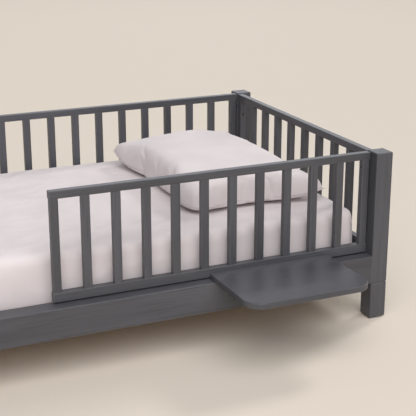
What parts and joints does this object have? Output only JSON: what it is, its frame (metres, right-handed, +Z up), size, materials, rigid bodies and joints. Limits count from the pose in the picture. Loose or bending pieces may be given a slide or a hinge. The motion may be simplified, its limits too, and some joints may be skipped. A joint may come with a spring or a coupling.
{
  "type": "toddler bed",
  "caption": "Low painted wooden child's bed with slatted guards all round, a half-length front guard, a small side shelf, a mattress and a pillow.",
  "frame": {"origin": "on the floor, under the middle of the bounding box, the shelf included", "axes": "+X along the bed towards the head end, +Y across it towards the back guard, +Z up"},
  "size_m": [1.712, 1.123, 0.48],
  "materials": {
    "paint": "anthracite satin paint",
    "raw_wood": "planed, unpainted",
    "steel": "zinc plated",
    "nylon": "moulded",
    "linen": "smooth cotton weave",
    "foam": "covered foam and fibre filling"
  },
  "bodies": {
    "bed_frame": {"post_front_head": "paint", "post_front_foot": "paint", "post_back_head": "paint", "post_back_foot": "paint", "leg_front_head": "paint", "leg_front_foot": "paint", "leg_back_head": "paint", "leg_back_foot": "paint", "leg_studs": "steel", "leg_sleeves": "steel", "glides": "nylon", "side_rail_front": "paint", "side_rail_back": "paint", "end_rail_head": "paint", "end_rail_foot": "paint", "side_rail_bolts": "steel", "cross_nuts": "steel", "end_rail_dowels": "raw_wood", "ledger_front": "raw_wood", "ledger_back": "raw_wood", "ledger_screws": "steel", "base_slats": "raw_wood", "base_screws": "steel", "front_guard_top": "paint", "front_guard_bottom": "paint", "front_guard_slats": "paint", "back_guard_top": "paint", "back_guard_bottom": "paint", "back_guard_slats": "paint", "head_guard_top": "paint", "head_guard_bottom": "paint", "head_guard_slats": "paint", "foot_guard_top": "paint", "foot_guard_bottom": "paint", "foot_guard_slats": "paint", "guard_bolts": "steel", "guard_sleeves": "steel", "guard_washers": "nylon", "guard_end_screws": "steel", "guard_end_spacers": "nylon", "shelf": "paint", "shelf_brackets": "steel", "shelf_screws": "steel"},
    "mattress_in_sheet": {"mattress": "foam", "fitted_sheet": "linen"},
    "pillow_in_case": {"pillow": "foam", "pillow_case": "linen"}
  },
  "joints": [
    {"name": "mattress_lift", "type": "slide", "parent": "bed_frame", "child": "mattress_in_sheet", "axis": [0, 0, 1], "range_m": [0, 0.35]},
    {"name": "pillow_lift", "type": "slide", "parent": "mattress_in_sheet", "child": "pillow_in_case", "axis": [0, 0, 1], "range_m": [0, 0.3]}
  ]
}
